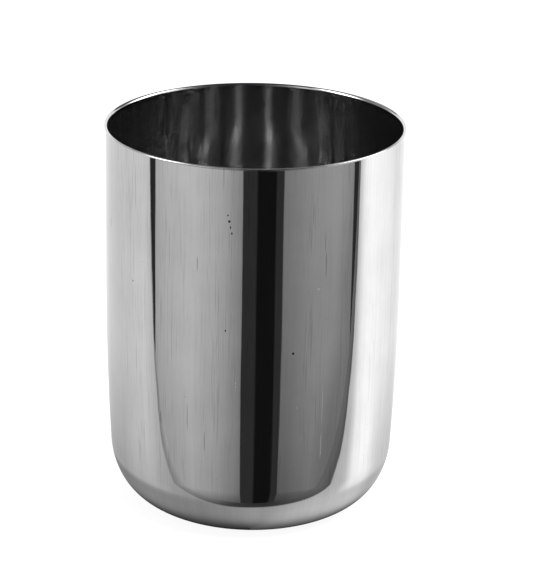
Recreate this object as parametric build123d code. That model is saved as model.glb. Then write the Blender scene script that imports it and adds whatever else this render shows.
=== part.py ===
from build123d import *

import math
import os

# A shaving mug without a handle: one cup, deep drawn from a single sheet of polished steel.
# Z is the cup's axis. The origin is the centre of the ring that it stands on. Millimetres.

OUTER_DIAMETER = 75.0  # of the straight wall, without the lip
HEIGHT = 100.3
SHEET = 0.6  # thickness, the same all over

# The lip is the sheet's own edge: it stands out from the wall a little, with a tight rounding
# outside and a wide one inside.
LIP_STANDS_OUT = 0.25
LIP_OUTER_ROUNDING = 0.2
LIP_UNDERSIDE_ANGLE = 75.0

# Below the straight wall the outside is three arcs, each tangent to the next: a slight taper, the
# shoulder and the corner. Each is (radius, slope that it ends at, in degrees from upright).
TAPER = (705.0, 3.2)
SHOULDER = (20.0, 27.4)
CORNER = (14.0, 90.0)

# The base is pressed in a little, inside the flat ring that the cup stands on.
RING_WIDTH = 1.8
BASE_RISE = 0.6
BASE_BEND_ANGLE = 25.0

OUTER_RADIUS = OUTER_DIAMETER / 2
LIP_INNER_ROUNDING = SHEET + LIP_STANDS_OUT - LIP_OUTER_ROUNDING


def wall_bends():
    """(radius, turn) of each arc of the outside, from the straight wall to the standing ring."""
    bends = []
    slope = 0.0
    for radius, end_slope in (TAPER, SHOULDER, CORNER):
        bends.append((radius, end_slope - slope))
        slope = end_slope
    return bends


def curved_height():
    """Height of the arcs of the outside, which is where the straight wall begins."""
    height = 0.0
    slope = 0.0
    for radius, end_slope in (TAPER, SHOULDER, CORNER):
        height += radius * (math.sin(math.radians(end_slope)) - math.sin(math.radians(slope)))
        slope = end_slope
    return height


def step_radius(step, angle):
    """Radius of two equal and opposite bends that shift a sheet sideways by step."""
    return step / (2 * (1 - math.cos(math.radians(angle))))


def draw_sheet_face(depth):
    """One face of the sheet, depth inside the outer one, from the straight wall to the axis."""
    point = Vector(OUTER_RADIUS - depth, curved_height())
    heading = Vector(0, -1)
    for radius, turn in wall_bends():
        arc = JernArc(point, heading, radius - depth, -turn)
        point, heading = arc @ 1, arc % 1
    ring = Line(point, point - Vector(RING_WIDTH, 0))
    bend = step_radius(BASE_RISE, BASE_BEND_ANGLE)
    rise = JernArc(ring @ 1, ring % 1, bend - depth, -BASE_BEND_ANGLE)
    level = JernArc(rise @ 1, rise % 1, bend + depth, BASE_BEND_ANGLE)
    floor = Line(level @ 1, (0, (level @ 1).Y))
    return floor @ 1


def draw_lip_and_wall():
    """The straight wall's two faces, and the lip that joins them at the top."""
    angle = math.radians(LIP_UNDERSIDE_ANGLE)
    bends = LIP_STANDS_OUT / (1 - math.cos(angle))
    wall_top = HEIGHT - LIP_OUTER_ROUNDING - bends * math.sin(angle)
    outside = Line((OUTER_RADIUS, curved_height()), (OUTER_RADIUS, wall_top))
    underside = JernArc(
        outside @ 1, outside % 1, bends - LIP_OUTER_ROUNDING, -LIP_UNDERSIDE_ANGLE
    )
    edge = JernArc(underside @ 1, underside % 1, LIP_OUTER_ROUNDING, LIP_UNDERSIDE_ANGLE + 90)
    mouth = JernArc(edge @ 1, edge % 1, LIP_INNER_ROUNDING, 90)
    Line(mouth @ 1, (OUTER_RADIUS - SHEET, curved_height()))


def mug_body():
    """The whole cup, as its section turned round the axis."""
    with BuildPart() as body:
        with BuildSketch(Plane.XZ):
            with BuildLine():
                outer_centre = draw_sheet_face(0)
                inner_centre = draw_sheet_face(SHEET)
                Line(outer_centre, inner_centre)
                draw_lip_and_wall()
            make_face()
        revolve(axis=Axis.Z)
    return body.part


os.makedirs("parts", exist_ok=True)
export_step(mug_body(), "parts/mug_body.step")
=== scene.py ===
import math

import bpy
from mathutils import Matrix, Vector


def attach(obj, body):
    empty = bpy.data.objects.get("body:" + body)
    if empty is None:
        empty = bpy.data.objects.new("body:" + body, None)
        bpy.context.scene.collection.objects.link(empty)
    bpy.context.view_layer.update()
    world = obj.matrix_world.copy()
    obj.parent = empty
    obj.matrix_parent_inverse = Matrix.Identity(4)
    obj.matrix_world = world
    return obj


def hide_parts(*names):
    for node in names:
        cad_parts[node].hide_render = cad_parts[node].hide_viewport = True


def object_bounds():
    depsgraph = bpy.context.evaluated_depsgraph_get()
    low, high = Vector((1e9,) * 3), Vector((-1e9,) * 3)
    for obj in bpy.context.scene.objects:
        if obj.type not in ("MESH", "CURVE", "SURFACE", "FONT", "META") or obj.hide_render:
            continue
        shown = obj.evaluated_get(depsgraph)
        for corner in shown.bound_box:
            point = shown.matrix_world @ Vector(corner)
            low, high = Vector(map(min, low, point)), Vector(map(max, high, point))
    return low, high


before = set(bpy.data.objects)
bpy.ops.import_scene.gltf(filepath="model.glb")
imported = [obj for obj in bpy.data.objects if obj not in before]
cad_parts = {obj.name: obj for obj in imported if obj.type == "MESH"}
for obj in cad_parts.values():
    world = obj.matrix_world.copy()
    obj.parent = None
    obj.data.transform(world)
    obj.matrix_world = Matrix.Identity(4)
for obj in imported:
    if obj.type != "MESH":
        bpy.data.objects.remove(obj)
cad_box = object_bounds()

# ---------------------------------------------------------------- sizes, in metres and degrees
# The diameter over the lip and the height come from the frame; the sheet's bends are the design's.
LIP_OUTER_RADIUS = cad_box[1].x
HEIGHT = cad_box[1].z
SHEET = 0.0006
LIP_STANDS_OUT = 0.00025
LIP_OUTER_ROUNDING = 0.0002
LIP_UNDERSIDE_ANGLE = 75.0
TAPER = (0.705, 3.2)  # each arc of the wall: its radius, and its slope from upright where it ends
SHOULDER = (0.020, 27.4)
CORNER = (0.014, 90.0)
RING_WIDTH = 0.0018
BASE_RISE = 0.0006
BASE_BEND_ANGLE = 25.0

RADIUS = LIP_OUTER_RADIUS - LIP_STANDS_OUT
LIP_INNER_ROUNDING = SHEET + LIP_STANDS_OUT - LIP_OUTER_ROUNDING
DIAMETER = 2 * RADIUS

FACETS_AROUND = 288
LONGEST_FACET = 0.01
LARGEST_TURN = 2.5  # degrees, from one facet of an arc to the next


# ---------------------------------------------------------------- the mug's surface
class Pen:
    """Draws a section as radius and height, and keeps the normal on its left at each point."""

    def __init__(self, r, z):
        self.r, self.z, self.heading = r, z, 0.0
        self.points = []
        self.mark()

    def mark(self):
        self.points.append((self.r, self.z, -math.sin(self.heading), math.cos(self.heading)))

    def forward(self, length):
        self.r += math.cos(self.heading) * length
        self.z += math.sin(self.heading) * length

    def line(self, length):
        count = math.ceil(length / LONGEST_FACET)
        for _ in range(count):
            self.forward(length / count)
            self.mark()

    def arc(self, radius, turn):
        """Turns left by so many degrees, or right where they are negative."""
        length = radius * math.radians(abs(turn))
        count = math.ceil(max(length / LONGEST_FACET, abs(turn) / LARGEST_TURN))
        half_bend = math.radians(turn) / count / 2
        for _ in range(count):
            self.heading += half_bend
            self.forward(2 * radius * math.sin(abs(half_bend)))
            self.heading += half_bend
            self.mark()


def wall_arcs():
    """Radius, slope above and slope below of each of the wall's arcs, from the top down."""
    slopes = [0.0, TAPER[1], SHOULDER[1], CORNER[1]]
    return [
        (arc[0], math.radians(above), math.radians(below))
        for arc, above, below in zip((TAPER, SHOULDER, CORNER), slopes, slopes[1:])
    ]


def offset_bend(offset, angle):
    """Radius of two equal and opposite bends that shift a sheet sideways by an offset."""
    return offset / (2 * (1 - math.cos(math.radians(angle))))


def mug_section():
    """Points from the inside's centre, up over the lip and down, to the underside's centre."""
    arcs = wall_arcs()
    ring_outer = RADIUS - sum(r * (math.cos(above) - math.cos(below)) for r, above, below in arcs)
    curved_height = sum(r * (math.sin(below) - math.sin(above)) for r, above, below in arcs)

    base_bend = offset_bend(BASE_RISE, BASE_BEND_ANGLE)
    base_flat = ring_outer - RING_WIDTH - 2 * base_bend * math.sin(math.radians(BASE_BEND_ANGLE))
    under_angle = math.radians(LIP_UNDERSIDE_ANGLE)
    lip_bends = LIP_STANDS_OUT / (1 - math.cos(under_angle))
    straight_top = HEIGHT - LIP_OUTER_ROUNDING - lip_bends * math.sin(under_angle)

    pen = Pen(0.0, BASE_RISE + SHEET)
    pen.line(base_flat)
    pen.arc(base_bend + SHEET, -BASE_BEND_ANGLE)
    pen.arc(base_bend - SHEET, BASE_BEND_ANGLE)
    pen.line(RING_WIDTH)
    for radius, above, below in reversed(arcs):
        pen.arc(radius - SHEET, math.degrees(below - above))
    pen.line(HEIGHT - LIP_INNER_ROUNDING - curved_height)

    pen.arc(LIP_INNER_ROUNDING, -90)
    pen.arc(LIP_OUTER_ROUNDING, -90 - LIP_UNDERSIDE_ANGLE)
    pen.arc(lip_bends - LIP_OUTER_ROUNDING, LIP_UNDERSIDE_ANGLE)

    pen.line(straight_top - curved_height)
    for radius, above, below in arcs:
        pen.arc(radius, math.degrees(above - below))
    pen.line(RING_WIDTH)
    pen.arc(base_bend, -BASE_BEND_ANGLE)
    pen.arc(base_bend, BASE_BEND_ANGLE)
    pen.line(base_flat)
    return pen.points


def spun_mesh(name, section):
    """A closed mesh of the section turned round Z, shaded with the section's own normals."""
    first, *rings, last = section
    turns = [2 * math.pi * i / FACETS_AROUND for i in range(FACETS_AROUND)]
    verts = [(0, 0, first[1]), (0, 0, last[1])]
    normals = [(0, 0, first[3]), (0, 0, last[3])]
    for r, z, out, up in rings:
        verts += [(r * math.cos(a), r * math.sin(a), z) for a in turns]
        normals += [(out * math.cos(a), out * math.sin(a), up) for a in turns]

    def vertex(ring, i):
        return 2 + ring * FACETS_AROUND + i % FACETS_AROUND

    faces = []
    end = len(rings) - 1
    for i in range(FACETS_AROUND):
        faces.append((0, vertex(0, i), vertex(0, i + 1)))
        faces.append((1, vertex(end, i + 1), vertex(end, i)))
        for ring in range(end):
            below, above = vertex(ring, i), vertex(ring + 1, i)
            faces.append((below, above, vertex(ring + 1, i + 1), vertex(ring, i + 1)))

    mesh = bpy.data.meshes.new(name)
    mesh.from_pydata(verts, [], faces)
    mesh.shade_smooth()
    mesh.normals_split_custom_set_from_vertices(normals)
    return mesh


# ---------------------------------------------------------------- node trees
class Nodes:
    """Short ways to add nodes to a tree. A value may be a number, a tuple or another node's socket."""

    def __init__(self, tree):
        self.tree = tree
        tree.nodes.clear()

    def add(self, kind, values=(), **settings):
        node = self.tree.nodes.new(kind)
        for name, setting in settings.items():
            setattr(node, name, setting)
        for key, value in dict(values).items():
            if isinstance(value, bpy.types.NodeSocket):
                self.tree.links.new(value, node.inputs[key])
            else:
                node.inputs[key].default_value = value
        return node

    def math(self, operation, *values):
        return self.add("ShaderNodeMath", enumerate(values), operation=operation).outputs[0]

    def times(self, first, *others):
        """All the values multiplied together."""
        for other in others:
            first = self.math("MULTIPLY", first, other)
        return first

    def invert(self, value):
        return self.math("SUBTRACT", 1.0, value)

    def vector(self, operation, *values):
        return self.add("ShaderNodeVectorMath", enumerate(values), operation=operation).outputs

    def split(self, vector):
        return self.add("ShaderNodeSeparateXYZ", {"Vector": vector}).outputs

    def join(self, x, y, z):
        return self.add("ShaderNodeCombineXYZ", {"X": x, "Y": y, "Z": z}).outputs[0]

    def grey(self, tone):
        return self.join(tone, tone, tone)

    def step(self, value, edge, soft):
        """0 below the edge and 1 above it, over a distance of soft."""
        names = {"Value": value, "From Min": edge - soft / 2, "From Max": edge + soft / 2}
        return self.add("ShaderNodeMapRange", names, interpolation_type="SMOOTHSTEP").outputs[0]

    def band(self, value, low, high, soft):
        """1 where the value lies between low and high, with edges that soft wide."""
        return self.math("SUBTRACT", self.step(value, low, soft), self.step(value, high, soft))

    def scale(self, value, low, high, to_low, to_high):
        """Goes evenly from to_low to to_high as the value goes from low to high, and stays there."""
        names = {"Value": value, "From Min": low, "From Max": high, "To Min": to_low, "To Max": to_high}
        return self.add("ShaderNodeMapRange", names).outputs[0]

    def mix(self, factor, a, b):
        """A number that goes from a to b as the factor goes from 0 to 1."""
        return self.add("ShaderNodeMix", {0: factor, 2: a, 3: b}).outputs[0]

    def curve(self, value, points):
        """A smooth curve near (value, result) points, given in order. No result is below 0."""
        low, high = points[0][0], points[-1][0]
        factor = self.scale(value, low, high, 0.0, 1.0)
        node = self.add("ShaderNodeValToRGB", {"Fac": factor})
        node.color_ramp.interpolation = "B_SPLINE"
        elements = node.color_ramp.elements
        elements[-1].position = 1.0
        for place, result in points[1:-1]:
            elements.new((place - low) / (high - low))
        # A ramp holds numbers up to 1, so it holds the results as shares of the largest.
        largest = max(result for place, result in points)
        for element, (place, result) in zip(elements, points):
            share = result / largest
            element.color = (share, share, share, 1)
        return self.math("MULTIPLY", node.outputs[0], largest)

    def noise(self, vector, scale, detail=2.0, roughness=0.5):
        values = {"Vector": vector, "Scale": scale, "Detail": detail, "Roughness": roughness}
        return self.add("ShaderNodeTexNoise", values).outputs[0]


def new_material(name):
    """A material with nodes, and the Nodes that fills it."""
    material = bpy.data.materials.new(name)
    material.use_nodes = True
    return material, Nodes(material.node_tree)


def angle_from_front(nodes, x, y):
    """The angle round the axis in radians: 0 at the front, and growing to the camera's right."""
    return nodes.math("ARCTAN2", x, nodes.math("MULTIPLY", y, -1.0))


# ---------------------------------------------------------------- polished steel
LIP_DEPTH = 0.0015  # of the part below the top that counts as the lip, not as the inside
TURNED_HEIGHT = 0.022  # of the inside's finish that is turned in circles
TURNED_ROUGHNESS = 0.17
INNER_ROUGHNESS = 0.008
NICK_ROUGHNESS = 0.25
PIT_TONE = 0.05
NICK_TONE = 0.86
BUMP_DEPTH = 0.00002

# Each is (degrees round from the front, height, half its width, half its height), in millimetres.
DARK_PITS = [
    (-9.5, 88.5, 0.2, 0.25), (-9, 87, 0.35, 0.35), (-8.5, 85.5, 0.15, 0.45), (-8, 84, 0.2, 0.35),
    (15.5, 53, 0.35, 0.35), (-52, 66.5, 0.2, 0.25), (-10, 59, 0.2, 0.3),
]
SCRATCHES = [
    (27.5, 81, 0.12, 3), (28, 75, 0.18, 3.5), (-21, 75.5, 0.18, 2), (-37, 33, 0.2, 2),
    (-25, 35, 0.15, 4), (-18, 29, 0.18, 3), (-71, 78, 0.3, 1.5),
]
LIGHT_NICKS = [
    (17.5, 38.5, 0.2, 0.5), (25, 69, 0.5, 0.25), (28, 38, 0.12, 6), (28, 27, 0.2, 4), (-6, 45, 0.1, 2),
]


def inner_faces(nodes, place):
    """1 on the cup's inner wall and floor, up to just below the lip, and 0 elsewhere."""
    normal = nodes.add("ShaderNodeTexCoord").outputs["Normal"]
    level = nodes.vector("MULTIPLY", place, (1, 1, 0))["Vector"]
    outward = nodes.vector("NORMALIZE", level)["Vector"]
    out = nodes.vector("DOT_PRODUCT", outward, normal)["Value"]
    upward = nodes.math("MAXIMUM", nodes.split(normal)[2], 0.0)
    facing = nodes.math("GREATER_THAN", nodes.math("SUBTRACT", upward, out), 0.3)
    lip = nodes.step(nodes.split(place)[2], HEIGHT - LIP_DEPTH, soft=0.001)
    return nodes.times(facing, nodes.invert(lip))


def mark(nodes, angle, z, spot):
    """1 on one soft spot of a list of marks, and 0 elsewhere."""
    degrees, height, half_width, half_height = spot
    across = nodes.math("SUBTRACT", angle, math.radians(degrees))
    across = nodes.times(across, RADIUS * 1000 / half_width)
    up = nodes.math("SUBTRACT", z, height / 1000)
    up = nodes.times(up, 1000 / half_height)
    squares = nodes.math("ADD", nodes.math("POWER", across, 2.0), nodes.math("POWER", up, 2.0))
    return nodes.invert(nodes.step(squares, 0.8, soft=0.8))


def marks(nodes, angle, z, spots):
    """1 on any spot of a list, and 0 elsewhere."""
    together = 0.0
    for spot in spots:
        together = nodes.math("MAXIMUM", together, mark(nodes, angle, z, spot))
    return together


def dark_marks(nodes, place, angle, z):
    """Pits wholly dark, and scratches and the finest specks partly."""
    specks = nodes.math("GREATER_THAN", nodes.noise(place, 2600.0, detail=1.0), 0.80)
    pits = nodes.math("MAXIMUM", nodes.times(specks, 0.6), marks(nodes, angle, z, DARK_PITS))
    scratches = marks(nodes, angle, z, SCRATCHES)
    return nodes.math("MAXIMUM", pits, nodes.times(scratches, 0.35))


def draw_marks(nodes, drawn):
    """Where the fine upright marks are, which come in patches."""
    lines = nodes.noise(drawn, 110.0, detail=2.0, roughness=0.6)
    lines = nodes.scale(lines, 0.54, 0.74, 0.0, 1.0)
    patches = nodes.noise(drawn, 6.0, detail=3.0, roughness=0.6)
    patches = nodes.scale(patches, 0.42, 0.62, 0.15, 1.0)
    return nodes.times(lines, patches)


def steel_tone(nodes, drawn, smudges, z):
    """The steel's own grey, uneven along the draw marks and a little clouded by smudges."""
    uneven = nodes.noise(drawn, 14.0, detail=5.0, roughness=0.7)
    tone = nodes.scale(uneven, 0.3, 0.7, 0.63, 0.69)
    # The corner was polished once more, so the draw marks fade there.
    darker = nodes.times(draw_marks(nodes, drawn), nodes.scale(z, 0.008, 0.022, 0.06, 0.30))
    clouded = nodes.scale(smudges, 0.35, 0.65, 0.95, 1.03)
    return nodes.times(tone, nodes.invert(darker), clouded)


def steel_film(nodes, drawn, inner):
    """Metallic all over, but for a very thin dull film on the inside."""
    film = nodes.noise(drawn, 26.0, detail=4.0, roughness=0.7)
    return nodes.mix(inner, 1.0, nodes.scale(film, 0.35, 0.70, 0.999, 0.992))


def steel_waves(nodes, drawn, inner):
    """Shallow waves that run upwards with the draw marks, and are far shallower on the inside."""
    broad = nodes.noise(drawn, 9.0, detail=3.0, roughness=0.6)
    broad = nodes.times(broad, nodes.mix(inner, 0.6, 0.015))
    fine = nodes.noise(drawn, 60.0, detail=4.0, roughness=0.7)
    height = nodes.math("MULTIPLY_ADD", fine, nodes.mix(inner, 0.06, 0.003), broad)
    bump = nodes.add("ShaderNodeBump", {"Height": height, "Strength": 1.0, "Distance": BUMP_DEPTH})
    return bump.outputs[0]


def polished_steel():
    """Mirror-bright drawn steel: upright draw marks, faint smudges, fine pits and a few nicks."""
    material, nodes = new_material("drawn_steel")
    place = nodes.add("ShaderNodeTexCoord").outputs["Object"]
    x, y, z = nodes.split(place)
    angle = angle_from_front(nodes, x, y)
    inner = inner_faces(nodes, place)
    smudges = nodes.noise(place, 55.0, detail=5.0, roughness=0.6)
    nicks = marks(nodes, angle, z, LIGHT_NICKS)

    # Draw marks keep to lines of one angle, so they are noise on a circle that hardly changes upwards.
    drawn = nodes.join(nodes.math("SINE", angle), nodes.math("COSINE", angle), nodes.times(z, 0.7))

    # The inside's floor and corner are turned, which draws their mirror images out upwards.
    turned = nodes.times(nodes.invert(nodes.step(z, TURNED_HEIGHT, soft=0.006)), inner)
    circles = nodes.add("ShaderNodeTangent", direction_type="RADIAL", axis="Z").outputs[0]

    tone = steel_tone(nodes, drawn, smudges, z)
    tone = nodes.mix(dark_marks(nodes, place, angle, z), tone, PIT_TONE)
    tone = nodes.mix(nicks, tone, NICK_TONE)

    roughness = nodes.scale(smudges, 0.35, 0.75, 0.012, 0.035)
    roughness = nodes.mix(inner, roughness, INNER_ROUGHNESS)
    roughness = nodes.mix(nicks, roughness, NICK_ROUGHNESS)
    roughness = nodes.mix(turned, roughness, TURNED_ROUGHNESS)

    values = {
        "Base Color": nodes.grey(tone),
        "Metallic": steel_film(nodes, drawn, inner),
        "Roughness": roughness,
        "Normal": steel_waves(nodes, drawn, inner),
        "Tangent": circles,
        "Anisotropic": turned,
        "Anisotropic Rotation": 0.25,
    }
    surface = nodes.add("ShaderNodeBsdfPrincipled", values)
    nodes.add("ShaderNodeOutputMaterial", {"Surface": surface.outputs[0]})
    return material


# ---------------------------------------------------------------- the studio
# All brightnesses are as the steel mirrors them. Angles are in degrees: round from the front, where
# the camera is, growing to the right, and up from the horizon.
LIGHTS_TOP = 56.0


def front_panel(nodes, outward, rise, corner, across, upwards):
    """A soft panel beside the camera, seen below the horizon.

    It darkens downwards, and faster out beyond its corner, which is (angle, degrees down per degree)."""
    past_corner = nodes.math("MAXIMUM", nodes.math("SUBTRACT", outward, corner[0]), 0.0)
    lowered = nodes.math("MULTIPLY_ADD", past_corner, -corner[1], rise)
    return nodes.times(nodes.curve(outward, across), nodes.curve(lowered, upwards))


def front_panels(nodes, around, rise):
    """The pale panel at the left, the darker one at the right and the dark gap between them."""
    left = front_panel(
        nodes, nodes.math("MULTIPLY", around, -1.0), rise, (48.0, 0.40),
        across=[(4, 0.28), (12, 0.34), (24, 0.54), (40, 0.68), (60, 0.75), (90, 0.82)],
        upwards=[(-60, 0.24), (-45, 0.40), (-36, 0.60), (-27, 0.84), (-18, 1.0), (0, 1.15)],
    )
    right = front_panel(
        nodes, around, rise, (50.0, 0.50),
        across=[(15, 0.20), (24, 0.24), (40, 0.34), (60, 0.46), (75, 0.62), (90, 0.70)],
        upwards=[(-60, 0.20), (-45, 0.28), (-34, 0.43), (-28, 0.73), (-18, 1.0), (0, 1.15)],
    )
    panels = nodes.mix(nodes.step(around, 7.0, soft=2.0), left, right)
    gap = nodes.band(around, -8.5, 22.5, soft=0.8)
    core = nodes.band(around, 2.5, 17.0, soft=2.0)
    return nodes.mix(gap, panels, nodes.mix(core, 0.035, 0.008))


def upper_lights(nodes, around):
    """The narrow lights above the horizon, which the mug's inside and its lip mirror."""
    return nodes.curve(around, [
        (-180, 0.10), (-150, 0.10), (-141, 1.2), (-132, 0.10), (-98, 0.10), (-91, 1.4), (-82, 9.0),
        (-72, 9.0), (-64, 0.7), (-52, 0.25), (-42, 1.5), (-32, 0.3), (-8, 0.03), (24, 0.03), (60, 0.05),
        (70, 1.4), (80, 0.8), (93, 1.0), (100, 9.6), (110, 9.6), (117, 0.9), (126, 0.2), (150, 0.10),
        (180, 0.10),
    ])


def studio_glow(nodes, direction):
    """How bright the studio is in each direction."""
    x, y, z = nodes.split(direction)
    around = nodes.math("DEGREES", angle_from_front(nodes, x, y))
    rise = nodes.math("DEGREES", nodes.math("ARCSINE", z))

    # Low down, the panels end at the sides in a dark gap, which the table hides further back.
    in_front = nodes.band(around, -81.0, 82.0, soft=0.8)
    beside = nodes.mix(nodes.step(rise, -9.0, soft=4.0), 0.03, 1.1)
    low = nodes.mix(in_front, beside, front_panels(nodes, around, rise))

    # The bright backdrop behind the mug reaches higher than it does at the sides.
    backdrop = nodes.scale(nodes.math("ABSOLUTE", around), 125.0, 155.0, 6.0, 24.0)
    above = nodes.step(nodes.math("SUBTRACT", rise, backdrop), 0.0, soft=6.0)
    glow = nodes.mix(above, low, upper_lights(nodes, around))
    return nodes.mix(nodes.step(rise, LIGHTS_TOP, soft=16.0), glow, 0.03)


def studio_world():
    """White to the camera, an even grey to what is matt, and the studio to the steel."""
    world = bpy.data.worlds.new("studio")
    world.use_nodes = True
    world.cycles.sampling_method = "NONE"
    nodes = Nodes(world.node_tree)
    direction = nodes.add("ShaderNodeTexCoord").outputs["Generated"]
    path = nodes.add("ShaderNodeLightPath").outputs
    bright = nodes.mix(path["Is Diffuse Ray"], studio_glow(nodes, direction), 0.75)
    bright = nodes.mix(path["Is Camera Ray"], bright, 1.0)
    background = nodes.add("ShaderNodeBackground", {"Color": nodes.grey(bright)})
    nodes.add("ShaderNodeOutputWorld", {"Surface": background.outputs[0]})
    bpy.context.scene.world = world


# ---------------------------------------------------------------- the table and the floor
# Distances on the table are in the mug's diameters, from its axis.
# The strip between the sheet's front and the table's edge is painted shade.
TABLE_FRONT = 0.63  # where the sheet ends. The table's own edge is a little behind, and a strip is between.
TABLE_CENTRE = 0.38  # in front of the axis. Seen in the mug, the table's points line up on rays from here.
TABLE_REACH, FLOOR_REACH = 60, 40
TABLE_DROP, FLOOR_DROP = 0.0001, 0.0002  # in metres, so that neither touches the mug


def table_top(nodes, x, y):
    """The table's painted light: highest to the right, with a painted soft shadow round the mug."""
    around = nodes.math("DEGREES", angle_from_front(nodes, x, nodes.math("ADD", y, TABLE_CENTRE)))
    squares = nodes.math("ADD", nodes.math("POWER", x, 2.0), nodes.math("POWER", y, 2.0))
    away = nodes.math("SQRT", squares)
    on_right = nodes.step(x, 0.0, soft=0.5)

    # Painted light further out, brightest to the right, where the light falls.
    far = nodes.curve(around, [
        (-180, 1.15), (-165, 1.08), (-150, 0.92), (-135, 0.83), (-112, 0.80), (-100, 0.88), (-92, 0.86),
        (-86, 0.74), (-78, 0.60), (-60, 0.50), (0, 0.50), (60, 0.50), (78, 0.62), (88, 0.70), (92, 1.10),
        (96, 1.42), (104, 1.48), (112, 1.41), (120, 1.34), (128, 1.22), (138, 1.06), (152, 1.08),
        (168, 1.18), (180, 1.15),
    ])
    # Painted shade close round the mug, darkest behind it and lightest at the right.
    near = nodes.curve(around, [
        (-180, 0.12), (-165, 0.13), (-150, 0.20), (-140, 0.32), (-110, 0.36), (-90, 0.32), (-70, 0.33),
        (-50, 0.37), (-25, 0.38), (0, 0.46), (25, 0.43), (45, 0.50), (64, 0.64), (88, 0.76), (104, 0.78),
        (120, 0.82), (136, 0.86), (148, 0.80), (158, 0.60), (168, 0.34), (180, 0.12),
    ])
    # How fast the painted shade near the mug gives way to the painted light further out; more slowly at the
    # left, in the painted shadow.
    spread_left = nodes.curve(away, [
        (0.55, 0.0), (0.57, 0.02), (0.60, 0.14), (0.62, 0.42), (0.66, 0.54), (0.72, 0.54), (0.80, 0.60),
        (1.0, 0.76), (1.5, 0.90), (2.3, 1.0),
    ])
    spread_right = nodes.curve(away, [
        (0.55, 0.0), (0.57, 0.02), (0.60, 0.14), (0.62, 0.42), (0.66, 0.66), (0.72, 0.74), (0.80, 0.86),
        (1.0, 0.96), (1.5, 1.0), (2.3, 1.0),
    ])
    spread = nodes.mix(on_right, spread_left, spread_right)
    # Painted contact shadow right under the mug's rounded base.
    painted_contact_shadow = nodes.curve(away, [
        (0.29, 0.03), (0.34, 0.05), (0.38, 0.10), (0.42, 0.40), (0.46, 0.85), (0.51, 1.0),
    ])

    # The mug's painted shade on the table at both sides, a little behind it, and the right side more.
    behind = nodes.band(nodes.math("ABSOLUTE", around), 113.0, 150.0, soft=16.0)
    painted_shade = nodes.scale(away, 0.8, 1.8, 0.30, 0.0)
    painted_shade = nodes.times(behind, painted_shade, nodes.mix(on_right, 0.5, 1.0))
    return nodes.times(nodes.mix(spread, near, far), painted_contact_shadow, nodes.invert(painted_shade))


def painted_edge_shade(nodes, x, past_edge):
    """The strip of painted shade in front of the table's edge: darkest at the edge, then as bright as the
    panels.
    """
    at_edge = nodes.curve(x, [
        (-1.5, 0.26), (-1.0, 0.30), (-0.6, 0.32), (-0.35, 0.28), (-0.2, 0.14), (-0.1, 0.05), (0.1, 0.03),
        (0.3, 0.11), (0.5, 0.13), (1.5, 0.12),
    ])
    further_out = nodes.curve(x, [
        (-1.5, 0.50), (-1.0, 0.50), (-0.6, 0.47), (-0.35, 0.40), (-0.2, 0.26), (-0.1, 0.06), (0.1, 0.02),
        (0.2, 0.08), (0.3, 0.13), (0.5, 0.17), (1.5, 0.19),
    ])
    outward = nodes.scale(past_edge, -0.015, -0.075, 0.0, 1.0)
    return nodes.mix(outward, at_edge, further_out)


def mirrored_table():
    """The table as the steel mirrors it: a sheet that glows with painted light and painted shadow, with a
    strip of painted shade along its front.
    """
    material, nodes = new_material("table")
    place = nodes.add("ShaderNodeTexCoord").outputs["Object"]
    x, y, _ = (nodes.math("DIVIDE", part, DIAMETER) for part in nodes.split(place))
    # How far the table's edge, where the strip of painted shade begins, is in front of the axis. It's a
    # little uneven, and closest at the right.
    edge = nodes.curve(x, [
        (-2.0, 0.595), (-1.5, 0.58), (-1.25, 0.555), (-1.0, 0.54), (-0.8, 0.545), (-0.55, 0.56),
        (-0.25, 0.555), (-0.1, 0.57), (0.0, 0.58), (0.1, 0.575), (0.22, 0.56), (0.35, 0.53), (0.5, 0.51),
        (0.7, 0.525), (0.85, 0.505), (1.2, 0.495), (2.0, 0.50),
    ])
    past_edge = nodes.math("ADD", y, edge)
    on_table = nodes.step(past_edge, 0.0, soft=0.02)
    bright = nodes.mix(on_table, painted_edge_shade(nodes, x, past_edge), table_top(nodes, x, y))
    # The table glows by itself, though it is no lamp: all its light and shade is painted.
    glow = nodes.add("ShaderNodeEmission", {"Color": nodes.grey(bright)})
    nodes.add("ShaderNodeOutputMaterial", {"Surface": glow.outputs[0]})
    return material


def pale_floor():
    """A near-white floor that mostly glows by itself, so that the mug's shadow on it stays faint."""
    material, nodes = new_material("pale_floor")
    surface = nodes.add("ShaderNodeBsdfDiffuse", {"Color": (0.9, 0.9, 0.9, 1)})
    glow = nodes.add("ShaderNodeEmission", {"Color": (1, 1, 1, 1), "Strength": 1.08})
    mixed = nodes.add("ShaderNodeMixShader", {0: 0.86, 1: surface.outputs[0], 2: glow.outputs[0]})
    nodes.add("ShaderNodeOutputMaterial", {"Surface": mixed.outputs[0]})
    return material


def flat_sheet(name, reach, front, z, material):
    """A level rectangle of the stage, that far to the back and to both sides, from its front edge."""
    corners = [(-reach, front, z), (reach, front, z), (reach, reach, z), (-reach, reach, z)]
    mesh = bpy.data.meshes.new(name)
    mesh.from_pydata(corners, [], [(0, 1, 2, 3)])
    mesh.materials.append(material)
    sheet = bpy.data.objects.new(name, mesh)
    bpy.context.scene.collection.objects.link(sheet)
    return sheet


def stage_floor():
    """The floor that the camera sees, and the table that the steel mirrors instead of it."""
    reach = FLOOR_REACH * DIAMETER
    floor = flat_sheet("floor", reach, -reach, -FLOOR_DROP, pale_floor())
    floor.visible_glossy = False
    floor.visible_diffuse = False
    front = -TABLE_FRONT * DIAMETER
    table = flat_sheet("table", TABLE_REACH * DIAMETER, front, -TABLE_DROP, mirrored_table())
    table.visible_camera = False
    table.visible_diffuse = False
    table.visible_shadow = False


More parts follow.
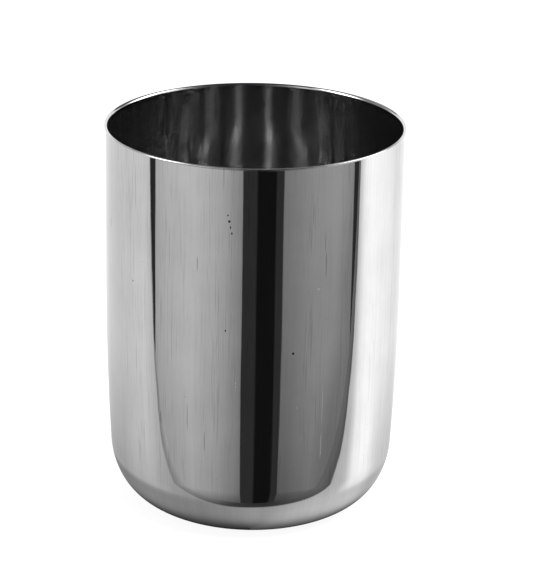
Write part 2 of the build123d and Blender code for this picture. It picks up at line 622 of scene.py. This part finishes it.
def soft_light(name, place, size, power):
    """A square soft light aimed at the mug's middle, which the steel doesn't mirror.

    Its place is in the mug's diameters."""
    light = bpy.data.lights.new(name, "AREA")
    light.size = size
    light.energy = power
    lamp = bpy.data.objects.new(name, light)
    lamp.location = Vector(place) * DIAMETER
    aim = Vector((0, 0, HEIGHT / 2)) - lamp.location
    lamp.rotation_euler = aim.to_track_quat("-Z", "Y").to_euler()
    lamp.visible_glossy = False
    lamp.visible_camera = False
    bpy.context.scene.collection.objects.link(lamp)


# ---------------------------------------------------------------- the camera
LENS, SENSOR_WIDTH = 157.6, 36.0  # millimetres
PAN, TILT, ROLL = 0.355, 20.326, 0.982  # degrees: to the right, down and anticlockwise
CAMERA_PLACE = (0, -8.0, 3.726)  # in the mug's diameters


def look():
    """A long lens above the mug's front, tipped down to it, with a slight turn and roll."""
    lens = bpy.data.cameras.new("camera")
    lens.lens = LENS
    lens.sensor_width = SENSOR_WIDTH
    pan, tilt, roll = math.radians(PAN), math.radians(TILT), math.radians(ROLL)
    ahead = (math.sin(pan) * math.cos(tilt), math.cos(pan) * math.cos(tilt), -math.sin(tilt))
    forward = Vector(ahead)
    right = Vector((math.cos(pan), -math.sin(pan), 0))
    up = right.cross(forward)
    rolled_right = math.cos(roll) * right + math.sin(roll) * up
    rolled_up = math.cos(roll) * up - math.sin(roll) * right
    camera = bpy.data.objects.new("camera", lens)
    turn = Matrix((rolled_right, rolled_up, -forward)).transposed().to_4x4()
    camera.matrix_world = Matrix.Translation(Vector(CAMERA_PLACE) * DIAMETER) @ turn
    bpy.context.scene.collection.objects.link(camera)
    bpy.context.scene.camera = camera


# ---------------------------------------------------------------- the scene
def build_mug():
    mesh = spun_mesh("mug", mug_section())
    mesh.materials.append(polished_steel())
    mug = bpy.data.objects.new("mug", mesh)
    bpy.context.scene.collection.objects.link(mug)
    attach(mug, "root")
    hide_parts("mug_body")


build_mug()
stage_floor()
soft_light("key", place=(5, -3, 13), size=0.9, power=40.0)
studio_world()
look()

# The steel shows its own inside many times over, so paths are let run long.
scene = bpy.context.scene
scene.view_settings.view_transform = "Standard"
scene.cycles.max_bounces = 24
scene.cycles.glossy_bounces = 20
scene.cycles.sample_clamp_indirect = 0.0
